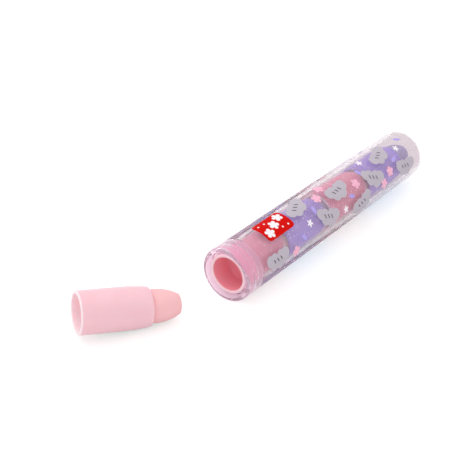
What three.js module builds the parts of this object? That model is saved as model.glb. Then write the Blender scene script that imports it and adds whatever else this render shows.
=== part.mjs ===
// Stackable eraser: eraser cartridges nested nose to tail in a clear barrel,
// a long clear cap over the barrel, and one cartridge lying loose behind it.
// The tube lies along +X, cap end forwards. Every piece is turned about its own axis.
import * as THREE from 'three';

// Driving dimensions, in millimetres and degrees
const facetCount = 36;
const curveSteps = 2;

// Cup that carries an eraser
const cupDiameter = 13.1;
const cupWall = 0.95;
const cupLength = 22;
const cupStraightLength = 13.2;
const cupFrontDiameter = 12.05;
const cupFrontRound = 0.5;
const cupFloor = 1.4;
const cupRimRound = 0.45;
const hollowMouthRound = 0.35;
const hollowCorner = 1.2;

// Eraser, a bullet nose on a plug
const noseLength = 9.4;
const noseDiameter = 10.2;
const noseBaseDiameter = 9.7;
const noseSwellLength = 1.6;
const noseTipDiameter = 6.6;
const noseTipRound = 0.5;
const plugDiameter = 9.2;
const plugChamfer = 0.5;
const plugClearance = 0.15;

// Stack of cartridges in the barrel
const stackCount = 4;
const cupSpacing = 1.9;
const rearInset = 1.1;
const noseClearance = 0.3;

// Barrel, the inner tube
const cupClearance = 0.2;
const barrelWall = 0.7;
const barrelInset = 0.4;
const barrelLeadIn = 0.35;
const frontCupShown = 3;
const snapRibHeight = 0.3;
const snapRibLength = 1.2;
const snapRibPlace = 2.6;

// Rear collar, a ring snapped round the barrel
const ringClearance = 0.15;
const collarLength = 7.6;
const collarLipRound = 1.25;
const collarChamfer = 0.15;
const skirtLength = 2;

// Cap sleeve, closed at the front
const sleeveClearance = 0.15;
const sleeveWall = 1.4;
const sleeveEndWall = 1.8;
const sleeveCornerWall = 0.45;
const sleeveTongueWall = 0.6;
const sleeveChamfer = 0.15;
const seamGap = 0.2;
const capClearance = 0.6;

// Loose cartridge on the table, placed by its nose tip
const looseTipBehind = 15.2;
const looseTipAside = 5.7;
const looseTurn = -31.9;
const looseDip = 7.4;

// Sizes that follow from the ones above
const cupRadius = cupDiameter / 2;
const hollowRadius = cupRadius - cupWall;
const hollowDepth = noseLength - cupSpacing + noseClearance;
const socketRadius = plugDiameter / 2 + plugClearance;
const socketStart = hollowDepth + cupFloor;
const plugStart = socketStart + plugClearance;
const noseStart = cupLength + plugClearance;
const cartridgeLength = cupLength + noseLength;
const stackPitch = cupLength + cupSpacing;
const frontCupStart = rearInset + (stackCount - 1) * stackPitch;

const boreRadius = cupRadius + cupClearance;
const barrelRadius = boreRadius + barrelWall;
const barrelEnd = frontCupStart + cupLength - frontCupShown;

const sleeveBoreRadius = barrelRadius + sleeveClearance;
const tubeRadius = sleeveBoreRadius + sleeveWall;
const tongueRadius = sleeveBoreRadius + sleeveTongueWall;
const skirtRadius = tongueRadius + ringClearance;
const collarBoreRadius = barrelRadius + ringClearance;
const collarShoulder = collarLength - skirtLength;
const sleeveInnerEnd = frontCupStart + cartridgeLength + capClearance;
const tubeLength = sleeveInnerEnd + sleeveEndWall;

// Largest round on the cap's front that leaves the corner wall outside the sharp inner corner
const sleeveWallsLeft = sleeveWall + sleeveEndWall - sleeveCornerWall;
const sleeveWallsSquared = sleeveWall ** 2 + sleeveEndWall ** 2 - sleeveCornerWall ** 2;
const sleeveEndRound = sleeveWallsLeft + Math.sqrt(sleeveWallsLeft ** 2 - sleeveWallsSquared);

const clearPlastic = {
  color: '#ead6e2',
  roughness: 0.12,
  metalness: 0,
  transparent: true,
  opacity: 0.35,
};
const pinkFinish = {
  cup: { color: '#f3becd', roughness: 0.45, metalness: 0 },
  eraser: { color: '#f7b7b7', roughness: 0.8, metalness: 0 },
};
const lilacFinish = {
  cup: { color: '#a59bd7', roughness: 0.45, metalness: 0 },
  eraser: { color: '#afa5c8', roughness: 0.8, metalness: 0 },
};

// A piece turned about +X from a profile of radius and distance along the axis.
function turned(name, profile, finish) {
  const geometry = new THREE.LatheGeometry(profile.getPoints(curveSteps), facetCount);
  geometry.rotateZ(-Math.PI / 2);
  const mesh = new THREE.Mesh(geometry, new THREE.MeshStandardMaterial(finish));
  mesh.name = name;
  return mesh;
}

// Runs on from the point (radius, start) along an arc that begins parallel to the axis
// and has drawn in to endRadius at the place end.
function drawIn(profile, radius, start, endRadius, end) {
  const run = end - start;
  const drop = radius - endRadius;
  const arcRadius = (run * run + drop * drop) / (2 * drop);
  profile.absarc(radius - arcRadius, start, arcRadius, 0, Math.asin(run / arcRadius));
}

// Cup: a hollow at the back for the next nose, a floor, and a socket for its own eraser.
function makeCup(name, finish) {
  const frontRadius = cupFrontDiameter / 2;
  const profile = new THREE.Path();
  profile.moveTo(0, hollowDepth);
  profile.lineTo(hollowRadius - hollowCorner, hollowDepth);
  profile.quadraticCurveTo(hollowRadius, hollowDepth, hollowRadius, hollowDepth - hollowCorner);
  profile.lineTo(hollowRadius, hollowMouthRound);
  profile.quadraticCurveTo(hollowRadius, 0, hollowRadius + hollowMouthRound, 0);
  profile.lineTo(cupRadius - cupRimRound, 0);
  profile.quadraticCurveTo(cupRadius, 0, cupRadius, cupRimRound);
  profile.lineTo(cupRadius, cupStraightLength);
  drawIn(profile, cupRadius, cupStraightLength, frontRadius, cupLength - cupFrontRound);
  profile.quadraticCurveTo(frontRadius, cupLength, frontRadius - cupFrontRound, cupLength);
  profile.lineTo(socketRadius, cupLength);
  profile.lineTo(socketRadius, socketStart);
  profile.lineTo(0, socketStart);
  return turned(name, profile, finish);
}

// Eraser: the plug sits in the cup's socket, and the nose swells a little past its shoulder on the
// cup's front before it draws in to the tip.
function makeEraser(name, finish) {
  const plugRadius = plugDiameter / 2;
  const noseRadius = noseDiameter / 2;
  const tipRadius = noseTipDiameter / 2;
  const swellEnd = noseStart + noseSwellLength;
  const noseEnd = cartridgeLength;
  const profile = new THREE.Path();
  profile.moveTo(0, plugStart);
  profile.lineTo(plugRadius - plugChamfer, plugStart);
  profile.lineTo(plugRadius, plugStart + plugChamfer);
  profile.lineTo(plugRadius, noseStart);
  profile.lineTo(noseBaseDiameter / 2, noseStart);
  profile.quadraticCurveTo(noseRadius, noseStart + noseSwellLength / 2, noseRadius, swellEnd);
  drawIn(profile, noseRadius, swellEnd, tipRadius, noseEnd - noseTipRound);
  profile.quadraticCurveTo(tipRadius - noseTipRound / 2, noseEnd, tipRadius - noseTipRound, noseEnd);
  profile.lineTo(0, noseEnd);
  return turned(name, profile, finish);
}

function makeCartridge(cupName, eraserName, finish) {
  const cartridge = new THREE.Group();
  cartridge.add(makeCup(cupName, finish.cup), makeEraser(eraserName, finish.eraser));
  return cartridge;
}

// Barrel: a thin tube open at both ends, with a low rib that the collar snaps over.
function makeBarrel() {
  const ribEnd = snapRibPlace + snapRibLength;
  const profile = new THREE.Path();
  profile.moveTo(boreRadius + barrelLeadIn, barrelInset);
  profile.lineTo(barrelRadius, barrelInset);
  profile.lineTo(barrelRadius, snapRibPlace);
  profile.lineTo(barrelRadius + snapRibHeight, snapRibPlace + snapRibHeight);
  profile.lineTo(barrelRadius + snapRibHeight, ribEnd - snapRibHeight);
  profile.lineTo(barrelRadius, ribEnd);
  profile.lineTo(barrelRadius, barrelEnd - barrelLeadIn);
  profile.lineTo(barrelRadius - barrelLeadIn, barrelEnd);
  profile.lineTo(boreRadius, barrelEnd);
  profile.lineTo(boreRadius, barrelInset + barrelLeadIn);
  profile.closePath();
  return turned('barrel', profile, clearPlastic);
}

// Collar: flush with the cap outside, with a groove for the rib and a skirt for the cap's tongue.
function makeCollar() {
  const grooveStart = snapRibPlace - ringClearance;
  const grooveEnd = snapRibPlace + snapRibLength + ringClearance;
  const grooveRadius = collarBoreRadius + snapRibHeight;
  const profile = new THREE.Path();
  profile.moveTo(collarBoreRadius, 0);
  profile.lineTo(tubeRadius - collarLipRound, 0);
  profile.absarc(tubeRadius - collarLipRound, collarLipRound, collarLipRound, -Math.PI / 2, 0);
  profile.lineTo(tubeRadius, collarLength - collarChamfer);
  profile.lineTo(tubeRadius - collarChamfer, collarLength);
  profile.lineTo(skirtRadius, collarLength);
  profile.lineTo(skirtRadius, collarShoulder);
  profile.lineTo(collarBoreRadius, collarShoulder);
  profile.lineTo(collarBoreRadius, grooveEnd);
  profile.lineTo(grooveRadius, grooveEnd - snapRibHeight);
  profile.lineTo(grooveRadius, grooveStart + snapRibHeight);
  profile.lineTo(collarBoreRadius, grooveStart);
  profile.closePath();
  return turned('rear_collar', profile, clearPlastic);
}

// Cap sleeve: a tongue slides into the collar's skirt, and the front end is closed and rounded.
function makeSleeve() {
  const tongueStart = collarShoulder + seamGap;
  const sleeveStart = collarLength + seamGap;
  const profile = new THREE.Path();
  profile.moveTo(0, sleeveInnerEnd);
  profile.lineTo(sleeveBoreRadius, sleeveInnerEnd);
  profile.lineTo(sleeveBoreRadius, tongueStart);
  profile.lineTo(tongueRadius, tongueStart);
  profile.lineTo(tongueRadius, sleeveStart);
  profile.lineTo(tubeRadius - sleeveChamfer, sleeveStart);
  profile.lineTo(tubeRadius, sleeveStart + sleeveChamfer);
  profile.lineTo(tubeRadius, tubeLength - sleeveEndRound);
  profile.absarc(tubeRadius - sleeveEndRound, tubeLength - sleeveEndRound, sleeveEndRound, 0, Math.PI / 2);
  profile.lineTo(0, tubeLength);
  return turned('cap_sleeve', profile, clearPlastic);
}

// The tube and its stack, resting on the table along its own length
const tube = new THREE.Group();
tube.position.z = tubeRadius;
tube.add(makeBarrel(), makeCollar(), makeSleeve());
for (let place = 0; place < stackCount; place += 1) {
  const finish = place % 2 ? lilacFinish : pinkFinish;
  const cartridge = makeCartridge(`cup_${place + 1}`, `eraser_${place + 1}`, finish);
  cartridge.position.x = rearInset + place * stackPitch;
  tube.add(cartridge);
}

// The loose cartridge tips nose down on to the curve of its cup and touches the table there.
const loose = makeCartridge('loose_cup', 'loose_eraser', pinkFinish);
const looseHeading = new THREE.Euler(
  0,
  THREE.MathUtils.degToRad(looseDip),
  THREE.MathUtils.degToRad(looseTurn),
  'ZYX',
);
loose.rotation.copy(looseHeading);
loose.position.set(cartridgeLength, 0, 0).applyEuler(looseHeading).negate();
loose.position.x -= looseTipBehind;
loose.position.y += looseTipAside;
loose.position.z -= new THREE.Box3().setFromObject(loose, true).min.z;

// Origin on the table, under the middle of the whole set
const eraserSet = new THREE.Group();
eraserSet.add(tube, loose);
const extent = new THREE.Box3().setFromObject(eraserSet, true);
const middle = extent.getCenter(new THREE.Vector3());
eraserSet.position.set(-middle.x, -middle.y, -extent.min.z);

export default eraserSet;
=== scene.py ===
import math
import random

import bmesh
import bpy
from mathutils import Matrix, Vector


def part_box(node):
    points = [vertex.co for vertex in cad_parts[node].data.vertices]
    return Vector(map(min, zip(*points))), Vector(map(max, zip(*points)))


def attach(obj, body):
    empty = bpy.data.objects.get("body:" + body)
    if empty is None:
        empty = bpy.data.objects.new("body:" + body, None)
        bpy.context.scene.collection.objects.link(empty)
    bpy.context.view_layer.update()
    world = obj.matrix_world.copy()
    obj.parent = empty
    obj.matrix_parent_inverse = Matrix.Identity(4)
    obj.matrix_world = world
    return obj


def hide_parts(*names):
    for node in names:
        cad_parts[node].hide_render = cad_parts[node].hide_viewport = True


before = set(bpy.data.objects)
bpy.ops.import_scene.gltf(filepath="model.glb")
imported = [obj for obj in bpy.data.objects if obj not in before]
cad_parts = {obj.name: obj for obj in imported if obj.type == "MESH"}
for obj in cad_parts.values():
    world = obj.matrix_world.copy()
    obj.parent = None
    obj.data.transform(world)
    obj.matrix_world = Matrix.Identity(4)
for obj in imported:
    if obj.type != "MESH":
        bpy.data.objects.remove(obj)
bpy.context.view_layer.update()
mm = 0.001  # sizes in the dictionaries are millimetres, angles are degrees
print("frame loaded:", len(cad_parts), "nodes")


# Shader sockets that Python's operators work on
class Flow:
    def __init__(self, tree, socket=None):
        self.tree = tree
        self.socket = socket

    def node(self, kind, settings=None, sockets=None, out=0):
        made = self.tree.nodes.new(kind)
        for name, value in (settings or {}).items():
            setattr(made, name, value)
        for name, value in (sockets or {}).items():
            if isinstance(value, Flow):
                self.tree.links.new(value.socket, made.inputs[name])
            else:
                made.inputs[name].default_value = value
        return Flow(self.tree, made.outputs[out] if made.outputs else None)

    def math(self, operation, first, second):
        return self.node("ShaderNodeMath", {"operation": operation}, {0: first, 1: second})

    def __add__(self, other):
        return self.math("ADD", self, other)

    def __radd__(self, other):
        return self.math("ADD", other, self)

    def __mul__(self, other):
        return self.math("MULTIPLY", self, other)

    def __rmul__(self, other):
        return self.math("MULTIPLY", other, self)

    def __or__(self, other):  # the larger of two
        return self.math("MAXIMUM", self, other)

    def __ror__(self, other):
        return self.math("MAXIMUM", other, self)


def startFinish(name):
    finish = bpy.data.materials.new(name)
    finish.use_nodes = True
    finish.node_tree.nodes.clear()
    flow = Flow(finish.node_tree)
    place = flow.node("ShaderNodeTexCoord", out="Object")
    return finish, flow, place


def endFinish(flow, shader):
    flow.node("ShaderNodeOutputMaterial", sockets={"Surface": shader})


def noise(flow, place, scale, detail=2.0, roughness=0.5):
    sockets = {"Vector": place, "Scale": scale, "Detail": detail, "Roughness": roughness}
    return flow.node("ShaderNodeTexNoise", sockets=sockets)


def shadeBetween(flow, factor, dark, light):
    sockets = {0: factor, 6: (*dark, 1), 7: (*light, 1)}
    return flow.node("ShaderNodeMix", {"data_type": "RGBA"}, sockets, out=2)


def bumpFrom(flow, height, strength, distance):
    return flow.node("ShaderNodeBump", sockets={"Height": height, "Strength": strength, "Distance": distance * mm})


# Clear plastic: bends what is behind it, and lets lamplight straight through to the stack
def clearFinish(name, spec):
    finish, flow, place = startFinish(name)
    marks = noise(flow, place, spec["markScale"], detail=3.0)
    smudge = noise(flow, place, spec["smudgeScale"])
    sockets = {
        "Base Color": shadeBetween(flow, smudge, spec["tint"], spec["pale"]),
        "Roughness": spec["roughness"] + spec["smudge"] * smudge,
        "IOR": spec["ior"],
        "Transmission Weight": spec["clear"],
        "Normal": bumpFrom(flow, marks, spec["markStrength"], spec["markDepth"]),
    }
    plastic = flow.node("ShaderNodeBsdfPrincipled", sockets=sockets)
    straight = flow.node("ShaderNodeBsdfTransparent", sockets={"Color": (*spec["through"], 1)})
    lampRay = flow.node("ShaderNodeLightPath", out="Is Shadow Ray")
    softRay = flow.node("ShaderNodeLightPath", out="Is Diffuse Ray")
    lampLit = flow.node("ShaderNodeMixShader", sockets={0: lampRay, 1: plastic, 2: straight})
    endFinish(flow, flow.node("ShaderNodeMixShader", sockets={0: softRay, 1: lampLit, 2: straight}))
    return finish


# Thin clear wall seen straight through, with a little haze
def filmFinish(name, spec):
    finish, flow, place = startFinish(name)
    smudge = noise(flow, place, spec["smudgeScale"])
    sockets = {
        "Base Color": shadeBetween(flow, smudge, spec["tint"], spec["pale"]),
        "Roughness": spec["roughness"] + spec["smudge"] * smudge,
        "Alpha": spec["haze"] + spec["hazeSpread"] * smudge,
    }
    endFinish(flow, flow.node("ShaderNodeBsdfPrincipled", sockets=sockets))
    return finish


# Satin cup plastic with a faint mottle
def cupFinish(name, spec):
    finish, flow, place = startFinish(name)
    mottle = noise(flow, place, spec["mottleScale"], detail=3.0)
    grain = noise(flow, place, spec["grainScale"])
    sockets = {
        "Base Color": shadeBetween(flow, mottle, spec["dark"], spec["light"]),
        "Roughness": spec["roughness"] + spec["gloss"] * mottle,
        "Specular IOR Level": spec["shine"],
        "Subsurface Weight": spec["glow"],
        "Subsurface Radius": spec["glowRadius"],
        "Subsurface Scale": spec["glowScale"] * mm,
        "Normal": bumpFrom(flow, grain, spec["grainStrength"], spec["grainDepth"]),
    }
    endFinish(flow, flow.node("ShaderNodeBsdfPrincipled", sockets=sockets))
    return finish


# Matt vinyl with fine pores and a dusty bloom
def vinylFinish(name, spec):
    finish, flow, place = startFinish(name)
    bloom = noise(flow, place, spec["bloomScale"], detail=4.0, roughness=0.6)
    pores = noise(flow, place, spec["poreScale"])
    sockets = {
        "Base Color": shadeBetween(flow, bloom, spec["dark"], spec["light"]),
        "Roughness": spec["roughness"] + spec["gloss"] * bloom,
        "Normal": bumpFrom(flow, pores, spec["poreStrength"], spec["poreDepth"]),
    }
    endFinish(flow, flow.node("ShaderNodeBsdfPrincipled", sockets=sockets))
    return finish


# Screen ink: an even film with a faint mesh texture
def inkFinish(name, spec):
    finish, flow, place = startFinish(name)
    film = noise(flow, place, spec["filmScale"])
    sockets = {
        "Base Color": shadeBetween(flow, film, spec["dark"], spec["light"]),
        "Roughness": spec["roughness"] + spec["gloss"] * film,
        "Specular IOR Level": spec["shine"],
        "Normal": bumpFrom(flow, film, spec["filmStrength"], spec["filmDepth"]),
    }
    endFinish(flow, flow.node("ShaderNodeBsdfPrincipled", sockets=sockets))
    return finish


# Turned pieces: a profile of (along, radius, round) is drawn as a wire and spun about +X
turning = {
    "steps": 120,
    "roundSteps": 5,
    "arcSteps": 14,
    "sharpAngle": 32,
    "mergeGap": 0.0002,
}


def drawProfile(corners, closed=False):
    bm = bmesh.new()
    verts = [bm.verts.new((along * mm, 0, radius * mm)) for along, radius, _ in corners]
    for pair in zip(verts, verts[1:]):
        bm.edges.new(pair)
    if closed:
        bm.edges.new((verts[-1], verts[0]))
    for vert, (_, _, rounding) in zip(verts, corners):
        if rounding:
            bmesh.ops.bevel(
                bm, geom=[vert], offset=rounding * mm, offset_type="OFFSET", affect="VERTICES",
                segments=turning["roundSteps"], profile=0.5, material=-1)
    return bm


def spinRound(bm):
    bmesh.ops.spin(
        bm, geom=bm.verts[:] + bm.edges[:], cent=(0, 0, 0), axis=(1, 0, 0),
        angle=2 * math.pi, steps=turning["steps"], use_merge=True)
    bmesh.ops.remove_doubles(bm, verts=bm.verts[:], dist=turning["mergeGap"] * mm)
    bmesh.ops.recalc_face_normals(bm, faces=bm.faces[:])
    return bm


# An arc that leaves the point (start, radius) along the axis and has drawn in to endRadius at end
def drawnIn(start, radius, end, endRadius):
    run, drop = end - start, radius - endRadius
    arcRadius = (run * run + drop * drop) / (2 * drop)
    sweep = math.asin(run / arcRadius)
    steps = turning["arcSteps"]
    turns = [sweep * step / steps for step in range(steps + 1)]
    return [(start + arcRadius * math.sin(t), radius - arcRadius * (1 - math.cos(t)), 0) for t in turns]


def makePiece(name, bm, finishes, body, stands=None):
    sharp = math.radians(turning["sharpAngle"])
    for face in bm.faces:
        face.smooth = True
    for edge in bm.edges:
        edge.smooth = edge.calc_face_angle(0) < sharp
    mesh = bpy.data.meshes.new(name)
    bm.to_mesh(mesh)
    bm.free()
    for finish in finishes:
        mesh.materials.append(finish)
    piece = bpy.data.objects.new(name, mesh)
    bpy.context.scene.collection.objects.link(piece)
    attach(piece, body)
    if stands:
        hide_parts(stands)


# The tube's own line, from the frame
sleeveLow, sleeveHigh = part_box("cap_sleeve")
collarLow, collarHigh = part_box("rear_collar")
tube = {
    "rear": collarLow.x / mm,
    "length": (sleeveHigh.x - collarLow.x) / mm,
    "radius": (sleeveHigh.z - sleeveLow.z) / 2 / mm,
    "shrink": 0.06,  # the visible wall lies this far inside the solid's corners
}
tubeLine = Matrix.Translation((collarLow.x, (sleeveLow.y + sleeveHigh.y) / 2, (sleeveLow.z + sleeveHigh.z) / 2))


def startAlong(node):
    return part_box(node)[0].x / mm - tube["rear"]


def endAlong(node):
    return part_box(node)[1].x / mm - tube["rear"]


# Inner barrel
barrel = {
    "bore": 6.75, "wall": 0.7, "leadIn": 0.35,
    "ribPlace": 2.6, "ribLength": 1.2, "ribHeight": 0.3, "edge": 0.12, "endEdge": 0.08,
}
barrelLook = {
    "tint": (0.92, 0.66, 0.79), "pale": (0.97, 0.78, 0.88), "roughness": 0.1, "smudge": 0.1, "smudgeScale": 260,
    "haze": 0.08, "hazeSpread": 0.08,
}


def makeBarrel():
    start, end = startAlong("barrel"), endAlong("barrel")
    bore, outer = barrel["bore"], barrel["bore"] + barrel["wall"]
    ribStart, ribEnd = barrel["ribPlace"], barrel["ribPlace"] + barrel["ribLength"]
    ribTop, edge, endEdge = outer + barrel["ribHeight"], barrel["edge"], barrel["endEdge"]
    corners = [
        (start, bore + barrel["leadIn"], endEdge),
        (start, outer, edge),
        (ribStart, outer, edge),
        (ribStart + barrel["ribHeight"], ribTop, edge),
        (ribEnd - barrel["ribHeight"], ribTop, edge),
        (ribEnd, outer, edge),
        (end - barrel["leadIn"], outer, edge),
        (end, outer - barrel["leadIn"], endEdge),
        (end, bore, endEdge),
        (start + barrel["leadIn"], bore, edge),
    ]
    bm = spinRound(drawProfile(corners, closed=True))
    bm.transform(tubeLine)
    makePiece("clear_barrel", bm, [filmFinish("clearBarrel", barrelLook)], "barrel", "barrel")


# Collar round the rear end
collar = {
    "bore": 7.6, "skirt": 8.35, "skirtLength": 2.0, "lip": 1.25, "edge": 0.15,
    "boreEdge": 0.1, "grooveStart": 2.45, "grooveEnd": 3.95, "grooveDepth": 0.3, "grooveEdge": 0.06,
}
collarLook = {
    "tint": (0.84, 0.66, 0.77), "pale": (0.89, 0.74, 0.83), "through": (0.97, 0.94, 0.96),
    "clear": 0.85, "ior": 1.3, "roughness": 0.04, "smudge": 0.06, "smudgeScale": 240,
    "markScale": 380, "markStrength": 0.05, "markDepth": 0.05,
}


def makeCollar():
    end = endAlong("rear_collar")
    outer = tube["radius"] - tube["shrink"]
    bore, boreEdge, grooveEdge = collar["bore"], collar["boreEdge"], collar["grooveEdge"]
    shoulder, grooveTop = end - collar["skirtLength"], bore + collar["grooveDepth"]
    corners = [
        (0, bore, boreEdge),
        (0, outer, collar["lip"]),
        (end, outer, collar["edge"]),
        (end, collar["skirt"], grooveEdge),
        (shoulder, collar["skirt"], boreEdge),
        (shoulder, bore, boreEdge),
        (collar["grooveEnd"], bore, grooveEdge),
        (collar["grooveEnd"] - collar["grooveDepth"], grooveTop, grooveEdge),
        (collar["grooveStart"] + collar["grooveDepth"], grooveTop, grooveEdge),
        (collar["grooveStart"], bore, grooveEdge),
    ]
    bm = spinRound(drawProfile(corners, closed=True))
    bm.transform(tubeLine)
    makePiece("clear_collar", bm, [clearFinish("clearCollar", collarLook)], "barrel", "rear_collar")


# Cap sleeve with its tongue and rounded front
sleeve = {
    "bore": 7.6, "tongue": 8.2, "tongueLength": 2.0, "tongueEdge": 0.1, "stepEdge": 0.06, "boreEdge": 0.08,
    "endWall": 1.8, "endRound": 4.35, "innerRound": 0.8, "edge": 0.15,
}
# The sleeve's grey tint is partly the plastic's own tint and partly painted shade for darker surroundings seen through
# its walls
sleeveLook = {
    "tint": (0.78, 0.73, 0.75), "pale": (0.82, 0.77, 0.79), "through": (0.975, 0.955, 0.97),
    "clear": 0.9, "ior": 1.09, "roughness": 0.02, "smudge": 0.03, "smudgeScale": 240,
    "markScale": 300, "markStrength": 0.05, "markDepth": 0.06,
}


def makeSleeve():
    start, end = startAlong("cap_sleeve"), endAlong("cap_sleeve")
    outer, bore = tube["radius"] - tube["shrink"], sleeve["bore"]
    wallStart, innerEnd = start + sleeve["tongueLength"], end - sleeve["endWall"]
    corners = [
        (innerEnd, 0, 0),
        (innerEnd, bore, sleeve["innerRound"]),
        (start, bore, sleeve["boreEdge"]),
        (start, sleeve["tongue"], sleeve["tongueEdge"]),
        (wallStart, sleeve["tongue"], sleeve["stepEdge"]),
        (wallStart, outer, sleeve["edge"]),
        (end, outer, sleeve["endRound"]),
        (end, 0, 0),
    ]
    bm = spinRound(drawProfile(corners))
    bm.transform(tubeLine)
    makePiece("clear_sleeve", bm, [clearFinish("clearSleeve", sleeveLook)], "cap", "cap_sleeve")


# Cup with its hollow, floor and socket
cup = {
    "radius": 6.55, "wall": 0.95, "length": 22.0, "straight": 13.2,
    "front": 6.025, "frontRound": 0.5, "frontDraw": 0.06, "frontCorner": 0.4,
    "rimRound": 0.45, "mouth": 0.35, "hollowDepth": 7.8, "hollowCorner": 1.2, "floor": 1.4,
    "socket": 4.75, "socketEdge": 0.06, "socketCorner": 0.1,
}
pinkCup = {
    "dark": (0.86, 0.52, 0.58), "light": (0.92, 0.59, 0.65), "mottleScale": 180, "roughness": 0.34, "gloss": 0.14,
    "shine": 0.3, "grainScale": 2600, "grainStrength": 0.08, "grainDepth": 0.02,
    "glow": 0.25, "glowRadius": (1.0, 0.45, 0.5), "glowScale": 0.8,
}
# Painted shade: the stacked cups take a deeper, darker copy of the loose cup's pink for the dimmer light inside the
# tube
shadedStackPink = dict(pinkCup, dark=(0.87, 0.22, 0.39), light=(0.94, 0.29, 0.46))
# Painted shade: the stacked cups' hollows are a deeper red-pink for the shade inside the cavity behind the barrel
pinkHollowPaintedShade = dict(pinkCup, dark=(0.88, 0.31, 0.38), light=(0.94, 0.38, 0.45), shine=0.2)
# Painted light: the stacked cups' rims are a paler copy of the pink for the lit edge of the wall
pinkRimPaintedLight = dict(pinkCup, dark=(0.86, 0.6, 0.66), light=(0.92, 0.68, 0.73))
# Painted light: the loose cup's rim is a lighter copy of its pink for the lit edge
looseRimPaintedLight = dict(pinkCup, dark=(0.93, 0.72, 0.76), light=(0.97, 0.79, 0.82))
# Painted light: the loose cup's hollow is a lighter copy with more subsurface, brightening the shade inside it
looseHollowPaintedLight = dict(
    pinkCup, dark=(0.98, 0.7, 0.74), light=(1.0, 0.77, 0.8), glow=0.9, glowScale=1.8, glowRadius=(0.75, 0.5, 0.5))
lilacCup = dict(pinkCup, dark=(0.32, 0.23, 0.86), light=(0.39, 0.29, 0.95), glowRadius=(0.6, 0.5, 1.0))


def cupProfile():
    hollow = cup["radius"] - cup["wall"]
    socketStart = cup["hollowDepth"] + cup["floor"]
    bend = cup["length"] - cup["frontRound"]
    return [
        (cup["hollowDepth"], 0, 0),
        (cup["hollowDepth"], hollow, cup["hollowCorner"]),
        (0, hollow, cup["mouth"]),
        (0, cup["radius"], cup["rimRound"]),
        *drawnIn(cup["straight"], cup["radius"], bend, cup["front"]),
        (cup["length"], cup["front"] - cup["frontDraw"], cup["frontCorner"]),
        (cup["length"], cup["socket"], cup["socketEdge"]),
        (socketStart, cup["socket"], cup["socketCorner"]),
        (socketStart, 0, 0),
    ]


# Rim and hollow faces take the second and third finish of a cup: painted light on the rims, painted shade or light in
# the hollows
def sortCupFaces(bm):
    slack = 0.01
    hollow, floor = cup["radius"] - cup["wall"] + slack, cup["hollowDepth"] + slack
    for face in bm.faces:
        middle = face.calc_center_median() / mm
        if middle.x < cup["rimRound"]:
            face.material_index = 1
        elif math.hypot(middle.y, middle.z) < hollow and middle.x < floor:
            face.material_index = 2


# Eraser with its plug and swelling nose
eraser = {
    "plug": 4.6, "plugChamfer": 0.5, "seat": 0.15, "nose": 5.1, "noseBase": 4.85, "swell": 1.6,
    "noseLength": 9.4, "tip": 3.3, "tipRound": 0.5, "tipDraw": 0.175, "tipCorner": 0.3,
}
pinkVinyl = {
    "dark": (0.88, 0.47, 0.49), "light": (0.95, 0.55, 0.57), "bloomScale": 220, "roughness": 0.62, "gloss": 0.2,
    "poreScale": 3200, "poreStrength": 0.18, "poreDepth": 0.03,
}
lilacVinyl = dict(pinkVinyl, dark=(0.35, 0.3, 0.56), light=(0.42, 0.37, 0.64))


def eraserProfile():
    plugStart = cup["hollowDepth"] + cup["floor"] + eraser["seat"]
    noseStart, noseEnd = cup["length"] + eraser["seat"], cup["length"] + eraser["noseLength"]
    swellEnd = noseStart + eraser["swell"]
    swelling = [(2 * swellEnd - along, radius, 0) for along, radius, _ in
                reversed(drawnIn(swellEnd, eraser["nose"], swellEnd + eraser["swell"], eraser["noseBase"])[1:])]
    return [
        (plugStart, 0, 0),
        (plugStart, eraser["plug"], eraser["plugChamfer"]),
        (noseStart, eraser["plug"], 0),
        *swelling,
        *drawnIn(swellEnd, eraser["nose"], noseEnd - eraser["tipRound"], eraser["tip"]),
        (noseEnd, eraser["tip"] - eraser["tipDraw"], eraser["tipCorner"]),
        (noseEnd, 0, 0),
    ]


def makeCartridge(tail, line, body, cupLooks, vinylLook, cupNode, eraserNode):
    cupBm = spinRound(drawProfile(cupProfile()))
    sortCupFaces(cupBm)
    cupBm.transform(line)
    makePiece("moulded_cup_" + tail, cupBm, cupLooks, body, cupNode)
    eraserBm = spinRound(drawProfile(eraserProfile()))
    eraserBm.transform(line)
    makePiece("vinyl_eraser_" + tail, eraserBm, [vinylLook], body, eraserNode)


# The loose cartridge lies turned, with its nose dipped on to the table
loose = {"turn": -31.9, "dip": 7.4, "fit": 0.999}  # fit keeps its rim inside the solid's box


def looseLine():
    heading = (
        Matrix.Rotation(math.radians(loose["turn"]), 4, "Z")
        @ Matrix.Rotation(math.radians(loose["dip"]), 4, "Y"))
    trial = spinRound(drawProfile(cupProfile()))
    trial.transform(heading)
    low = Vector([min(v.co[i] for v in trial.verts) for i in range(3)])
    high = Vector([max(v.co[i] for v in trial.verts) for i in range(3)])
    trial.free()
    cupLow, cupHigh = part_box("loose_cup")
    shift = (cupLow + cupHigh - low - high) / 2
    shift.z = cupLow.z - low.z
    return Matrix.Translation(shift) @ heading @ Matrix.Scale(loose["fit"], 4)


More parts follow.
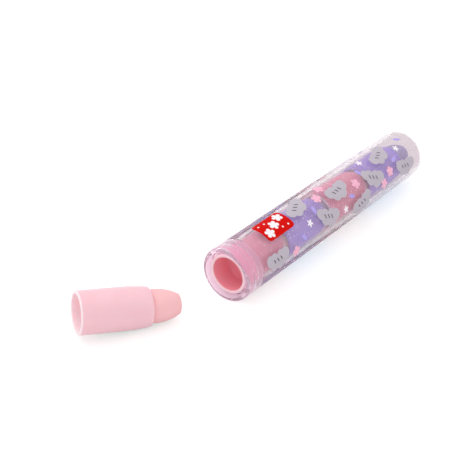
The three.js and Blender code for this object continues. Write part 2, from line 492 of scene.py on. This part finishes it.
# Printed pattern on the sleeve, in ink that stands just proud of the plastic
ink = {
    "sink": 0.075,  # depth of the film's back under the solid's surface
    "film": 0.05, "smallLift": 0.007, "overprint": 0.014, "stripWidth": 0.5, "cutGap": 1e-5,
}
inkLook = {"roughness": 0.45, "gloss": 0.15, "shine": 0.04, "filmScale": 1500, "filmStrength": 0.08, "filmDepth": 0.02}
inkColours = {
    "grey": {"dark": (0.47, 0.43, 0.49), "light": (0.55, 0.5, 0.56)},
    "slate": {"dark": (0.06, 0.05, 0.07), "light": (0.1, 0.08, 0.11)},
    "pink": {"dark": (0.85, 0.42, 0.56), "light": (0.93, 0.52, 0.66)},
    "lilac": {"dark": (0.4, 0.32, 0.75), "light": (0.5, 0.42, 0.84)},
    "white": {"dark": (0.86, 0.8, 0.84), "light": (0.94, 0.9, 0.93)},
    "red": {"dark": (0.6, 0.002, 0.001), "light": (0.67, 0.004, 0.002)},
}
backing = {"dark": (0.84, 0.82, 0.84), "light": (0.92, 0.9, 0.92)}  # white base coat under every colour
petalTurns = [2 * math.pi * petal / 5 for petal in range(5)]
# Each motif is a ring of points on the outline of its discs: x, y and radius
motifs = {
    "cloud": {"points": 72, "discs": [
        (-3.6, -0.7, 1.9), (-1.5, 0.9, 2.2), (1.5, 1.2, 2.4), (3.8, -0.5, 2.1), (-1.4, -1.0, 1.6), (1.6, -1.0, 1.6)]},
    "rain": {"points": 20, "discs": [(step * 0.3, 0.0, 0.2) for step in range(-2, 3)]},
    "blossom": {"points": 60, "discs": [(0.0, 0.0, 0.8)] + [
        (1.2 * math.cos(turn), 1.2 * math.sin(turn), 0.7) for turn in petalTurns]},
    "star": {"points": 40, "discs": [(0.0, 0.0, 0.6)], "rays": 5, "reach": 1.4},
    "dot": {"points": 16, "discs": [(0.0, 0.0, 0.34)]},
    "leaf": {"points": 24, "discs": [(-0.8, 0.0, 0.6), (-0.2, 0.0, 0.75), (0.5, 0.0, 0.6), (1.1, 0.0, 0.35)]},
}
patch = {
    "along": 21.8, "angle": 14, "length": 13.4, "width": 8.3, "corner": 1.3, "cornerSteps": 6,
    "blossoms": [(-4.0, 1.7, 0), (0.0, 0.0, 25), (4.0, -1.7, 50)],  # along, across, spin
    "dots": [(-4.7, -2.5, 0), (-2.0, -2.3, 0), (2.0, 2.3, 0), (4.7, 2.5, 0)],
}


# Distance from a motif's middle to its edge in one direction, for an outline of overlapping discs
def edgeReach(spec, turn):
    reach = 0.0
    for x, y, radius in spec["discs"]:
        ahead = x * math.cos(turn) + y * math.sin(turn)
        aside = y * math.cos(turn) - x * math.sin(turn)
        if abs(aside) < radius:
            reach = max(reach, ahead + math.sqrt(radius * radius - aside * aside))
    if "rays" in spec:
        spike = abs(math.cos(spec["rays"] * turn / 2)) ** 2
        reach += (spec["reach"] - reach) * spike
    return reach


def flatMotif(spec):
    bm = bmesh.new()
    bmesh.ops.create_circle(bm, cap_ends=True, radius=1.0, segments=spec["points"])
    for vert in bm.verts:
        vert.co *= edgeReach(spec, math.atan2(vert.co.y, vert.co.x))
    return bm


def flatPatch():
    bm = bmesh.new()
    bmesh.ops.create_grid(bm, x_segments=1, y_segments=1, size=0.5)
    bmesh.ops.scale(bm, vec=(patch["length"], patch["width"], 1), verts=bm.verts[:])
    bmesh.ops.bevel(
        bm, geom=bm.verts[:], offset=patch["corner"], offset_type="OFFSET", affect="VERTICES",
        segments=patch["cornerSteps"], profile=0.5, material=-1)
    return bm


# Gives a flat shape its film thickness and rolls it on to the tube at a place along and round it
def rollOn(bm, along, angle, spin=0.0, lift=0.0):
    bmesh.ops.rotate(bm, cent=(0, 0, 0), matrix=Matrix.Rotation(math.radians(spin), 3, "Z"), verts=bm.verts[:])
    reach = max(abs(v.co.y) for v in bm.verts)
    cuts = int(reach / ink["stripWidth"])
    for cut in range(-cuts, cuts + 1):
        bmesh.ops.bisect_plane(
            bm, geom=bm.verts[:] + bm.edges[:] + bm.faces[:], dist=ink["cutGap"],
            plane_co=(0, cut * ink["stripWidth"], 0), plane_no=(0, 1, 0))
    backs = bm.faces[:]
    raised = bmesh.ops.extrude_face_region(bm, geom=backs, use_keep_orig=True)
    for face in backs:
        face.material_index = 1  # the base coat, against the plastic
    top = [item for item in raised["geom"] if isinstance(item, bmesh.types.BMVert)]
    bmesh.ops.translate(bm, vec=(0, 0, ink["film"]), verts=top)
    for vert in bm.verts:
        radius = tube["radius"] - ink["sink"] + lift + vert.co.z
        turn = math.radians(angle) + vert.co.y / tube["radius"]
        vert.co = ((along + vert.co.x) * mm, -radius * math.sin(turn) * mm, radius * math.cos(turn) * mm)
    bmesh.ops.recalc_face_normals(bm, faces=bm.faces[:])
    return bm


def gather(shapes):
    whole = bmesh.new()
    for shape in shapes:
        part = bpy.data.meshes.new("part")
        shape.to_mesh(part)
        shape.free()
        whole.from_mesh(part)
        bpy.data.meshes.remove(part)
    return whole


# Two printed faces, each a middle and a width in degrees, with bare strips between them. Each cloud takes the next
# share of the width, and small motifs stand beside it at a share of the width and a part of the step along
layout = {
    "first": 10.5, "last": 97.5, "count": 9, "faces": ((46, 92), (244, 120)), "start": 0.86, "share": 0.618,
    "tilt": 26, "tiltStep": 2.4, "rainSpread": 1.7, "rainSpin": 62, "smallSpin": 50,
    "cloudReach": (5.9, 3.3), "smallReach": (1.9, 1.9),  # along and round
    "small": (
        {"kinds": (("star", "white"), ("blossom", "pink")), "along": 0.0, "beside": 0.5},
        {"kinds": (("blossom", "pink"), ("leaf", "lilac"), ("leaf", "lilac")), "along": 0.5, "beside": 0.309},
    ),
}


def clearOfPatch(along, angle, reach):
    around = math.radians((angle - patch["angle"] + 180) % 360 - 180) * tube["radius"]
    gapAlong = abs(along - patch["along"]) - patch["length"] / 2 - reach[0]
    gapAround = abs(around) - patch["width"] / 2 - reach[1]
    return max(gapAlong, gapAround) > 0


def printCloud(shapes, along, angle, spin):
    shapes["grey"].append(rollOn(flatMotif(motifs["cloud"]), along, angle, spin))
    for drop in (-1, 0, 1):
        shift = drop * layout["rainSpread"]
        shapes["slate"].append(rollOn(
            flatMotif(motifs["rain"]), along + shift * math.cos(math.radians(spin)),
            angle + math.degrees(shift * math.sin(math.radians(spin)) / tube["radius"]),
            spin + layout["rainSpin"], ink["overprint"]))


def printFace(shapes, middle, spread, start):
    step = (layout["last"] - layout["first"]) / layout["count"]
    for place in range(layout["count"]):
        along = layout["first"] + step * (place + 0.5)
        share = start + layout["share"] * place
        angle = middle + spread * (share % 1 - 0.5)
        if clearOfPatch(along, angle, layout["cloudReach"]):
            printCloud(shapes, along, angle, layout["tilt"] * math.sin(layout["tiltStep"] * place))
        for small in layout["small"]:
            kind, colour = small["kinds"][place % len(small["kinds"])]
            nextAlong = along + step * small["along"]
            nextAngle = middle + spread * ((share + small["beside"]) % 1 - 0.5)
            if clearOfPatch(nextAlong, nextAngle, layout["smallReach"]):
                shapes[colour].append(rollOn(
                    flatMotif(motifs[kind]), nextAlong, nextAngle, layout["smallSpin"] * place, ink["smallLift"]))


def printSleeve():
    shapes = {name: [] for name in inkColours}
    for number, (middle, spread) in enumerate(layout["faces"]):
        printFace(shapes, middle, spread, layout["start"] + number / 2)
    shapes["red"].append(rollOn(flatPatch(), patch["along"], patch["angle"]))
    for kind, places in (("blossom", patch["blossoms"]), ("dot", patch["dots"])):
        for along, across, spin in places:
            angle = patch["angle"] + math.degrees(across / tube["radius"])
            shapes["white"].append(
                rollOn(flatMotif(motifs[kind]), patch["along"] + along, angle, spin, ink["overprint"]))
    baseCoat = inkFinish("inkBacking", dict(inkLook, **backing))
    for colour, found in shapes.items():
        bm = gather(found)
        bm.transform(tubeLine)
        finishes = [inkFinish("ink_" + colour, dict(inkLook, **inkColours[colour])), baseCoat]
        makePiece("print_" + colour, bm, finishes, "cap")


# Glitter: thin six-sided flakes moulded into the clear walls
glitter = {
    "seed": 7, "sleeveCount": 1500, "collarCount": 80, "small": 0.08, "large": 0.17, "thickness": 0.02,
    "tilt": 12, "depth": (0.1, 0.25), "collarDepth": (0.3, 0.45), "margin": 0.6, "lipMargin": 0.5,
}
foilLook = {"dark": (0.95, 0.75, 0.85), "light": (0.95, 0.93, 0.98), "roughness": 0.4, "metal": 0.1}


def foilFinish(name, spec):
    finish, flow, place = startFinish(name)
    pick = flow.node("ShaderNodeTexWhiteNoise", {"noise_dimensions": "3D"}, {"Vector": place})
    sockets = {
        "Base Color": shadeBetween(flow, pick, spec["dark"], spec["light"]),
        "Roughness": spec["roughness"],
        "Metallic": spec["metal"],
    }
    endFinish(flow, flow.node("ShaderNodeBsdfPrincipled", sockets=sockets))
    return finish


def scatterFlakes(count, start, end, depth, draw):
    bm = bmesh.new()
    for _ in range(count):
        turn = draw.uniform(0, 2 * math.pi)
        radius = tube["radius"] - tube["shrink"] - draw.uniform(*depth)
        lean = [math.radians(draw.uniform(-glitter["tilt"], glitter["tilt"])) for _ in range(2)]
        size = draw.uniform(glitter["small"], glitter["large"]) * mm
        place = (
            tubeLine @ Matrix.Translation((draw.uniform(start, end) * mm, 0, 0))
            @ Matrix.Rotation(turn, 4, "X") @ Matrix.Translation((0, 0, radius * mm))
            @ Matrix.Rotation(lean[0], 4, "X") @ Matrix.Rotation(lean[1], 4, "Y"))
        bmesh.ops.create_cone(
            bm, cap_ends=True, segments=6, radius1=size, radius2=size,
            depth=glitter["thickness"] * mm, matrix=place)
    return bm


def addGlitter():
    foil = foilFinish("glitterFoil", foilLook)
    draw = random.Random(glitter["seed"])
    wallStart = startAlong("cap_sleeve") + sleeve["tongueLength"]
    wallEnd = tube["length"] - sleeve["endRound"]
    flakes = scatterFlakes(glitter["sleeveCount"], wallStart + glitter["margin"], wallEnd, glitter["depth"], draw)
    makePiece("glitter_sleeve", flakes, [foil], "cap")
    lipEnd, skirtEnd = collar["lip"] + glitter["lipMargin"], wallStart - glitter["margin"]
    flakes = scatterFlakes(glitter["collarCount"], lipEnd, skirtEnd, glitter["collarDepth"], draw)
    makePiece("glitter_collar", flakes, [foil], "barrel")


makeBarrel()
makeCollar()
makeSleeve()
print("clear pieces made")

lilacLook = cupFinish("lilacCup", lilacCup)
cupLooks = {
    "pink": [cupFinish("pinkCup", shadedStackPink), cupFinish("pinkRimPaintedLight", pinkRimPaintedLight), cupFinish("pinkHollowPaintedShade", pinkHollowPaintedShade)],
    "lilac": [lilacLook, lilacLook, lilacLook],
    "loose": [cupFinish("looseCup", pinkCup), cupFinish("looseRimPaintedLight", looseRimPaintedLight), cupFinish("looseHollowPaintedLight", looseHollowPaintedLight)],
}
vinylLooks = {"pink": vinylFinish("pinkVinyl", pinkVinyl), "lilac": vinylFinish("lilacVinyl", lilacVinyl)}
for number in range(1, 5):
    shade = "lilac" if number % 2 == 0 else "pink"
    line = tubeLine @ Matrix.Translation((startAlong(f"cup_{number}") * mm, 0, 0))
    makeCartridge(
        str(number), line, f"cartridge_{number}", cupLooks[shade], vinylLooks[shade],
        f"cup_{number}", f"eraser_{number}")
makeCartridge(
    "loose", looseLine(), "loose_cartridge", cupLooks["loose"], vinylLooks["pink"],
    "loose_cup", "loose_eraser")
print("cartridges made")

printSleeve()
addGlitter()
print("print and glitter made")


# Stage, in metres: white floor that keeps the shadows, white world, one broad lamp
stage = {
    "side": 4.0, "drop": 0.00002, "fill": 1.0, "paper": (0.85, 0.85, 0.85), "glow": 1.0,
    "seenPaper": (0.78, 0.64, 0.68), "seenGlow": (0.37, 0.51, 0.47),  # evens out the pink light beside the pieces
    "bounces": 24,  # rays cross many clear walls
}
lamp = {"aim": (0.0, 0.0, 0.01), "toward": (-0.25, 0.81, 1.2), "distance": 0.9, "size": 0.5, "power": 1.5}


def makeFloor():
    finish, flow, _ = startFinish("paperFloor")
    paper = flow.node("ShaderNodeBsdfDiffuse", sockets={"Color": (*stage["paper"], 1)})
    seenPaper = flow.node("ShaderNodeBsdfDiffuse", sockets={"Color": (*stage["seenPaper"], 1)})
    glow = flow.node("ShaderNodeEmission", sockets={"Color": (*stage["seenGlow"], 1), "Strength": stage["glow"]})
    white = flow.node("ShaderNodeAddShader", sockets={0: seenPaper, 1: glow})
    eyeRay = flow.node("ShaderNodeLightPath", out="Is Camera Ray")
    glossRay = flow.node("ShaderNodeLightPath", out="Is Glossy Ray")
    clearRay = flow.node("ShaderNodeLightPath", out="Is Transmission Ray")
    seen = eyeRay | glossRay | clearRay
    endFinish(flow, flow.node("ShaderNodeMixShader", sockets={0: seen, 1: paper, 2: white}))
    bm = bmesh.new()
    bmesh.ops.create_grid(bm, x_segments=1, y_segments=1, size=stage["side"] / 2)
    bmesh.ops.translate(bm, vec=(0, 0, -stage["drop"]), verts=bm.verts[:])
    mesh = bpy.data.meshes.new("paper_floor")
    bm.to_mesh(mesh)
    bm.free()
    mesh.materials.append(finish)
    floor = bpy.data.objects.new("paper_floor", mesh)
    bpy.context.scene.collection.objects.link(floor)


def makeWorld():
    world = bpy.data.worlds.new("studio")
    world.use_nodes = True
    world.node_tree.nodes.clear()
    flow = Flow(world.node_tree)
    sky = flow.node("ShaderNodeBackground", sockets={"Color": (1, 1, 1, 1), "Strength": stage["fill"]})
    flow.node("ShaderNodeOutputWorld", sockets={"Surface": sky})
    bpy.context.scene.world = world


def makeLamp():
    light = bpy.data.lights.new("softbox", "AREA")
    light.shape = "DISK"
    light.size = lamp["size"]
    light.energy = lamp["power"]
    holder = bpy.data.objects.new("softbox", light)
    toward = Vector(lamp["toward"]).normalized()
    holder.location = Vector(lamp["aim"]) + toward * lamp["distance"]
    holder.rotation_euler = toward.to_track_quat("Z", "Y").to_euler()
    bpy.context.scene.collection.objects.link(holder)


# Camera fitted to the tube's outline, in millimetres from the tube's rear end
camera = {
    "azimuth": -52.33, "elevation": 30.16, "aim": (24.28, 18.81, 0.0), "distance": 377.4,
    "focalPixels": 1160, "pictureSide": 450, "sensor": 36.0, "near": 10, "far": 20000,
}


def makeCamera():
    turn, rise = math.radians(camera["azimuth"]), math.radians(camera["elevation"])
    back = Vector((math.sin(turn) * math.cos(rise), -math.cos(turn) * math.cos(rise), math.sin(rise)))
    data = bpy.data.cameras.new("camera")
    data.sensor_width = camera["sensor"]
    data.lens = camera["sensor"] * camera["focalPixels"] / camera["pictureSide"]
    data.clip_start, data.clip_end = camera["near"] * mm, camera["far"] * mm
    holder = bpy.data.objects.new("camera", data)
    holder.location = tubeLine @ ((Vector(camera["aim"]) + back * camera["distance"]) * mm)
    holder.rotation_euler = back.to_track_quat("Z", "Y").to_euler()
    bpy.context.scene.collection.objects.link(holder)
    bpy.context.scene.camera = holder


makeFloor()
makeWorld()
makeLamp()
makeCamera()
bpy.context.scene.view_settings.view_transform = "Standard"
for limit in ("max_bounces", "glossy_bounces", "transmission_bounces", "transparent_max_bounces"):
    setattr(bpy.context.scene.cycles, limit, stage["bounces"])
print("stage, lamp and camera set")
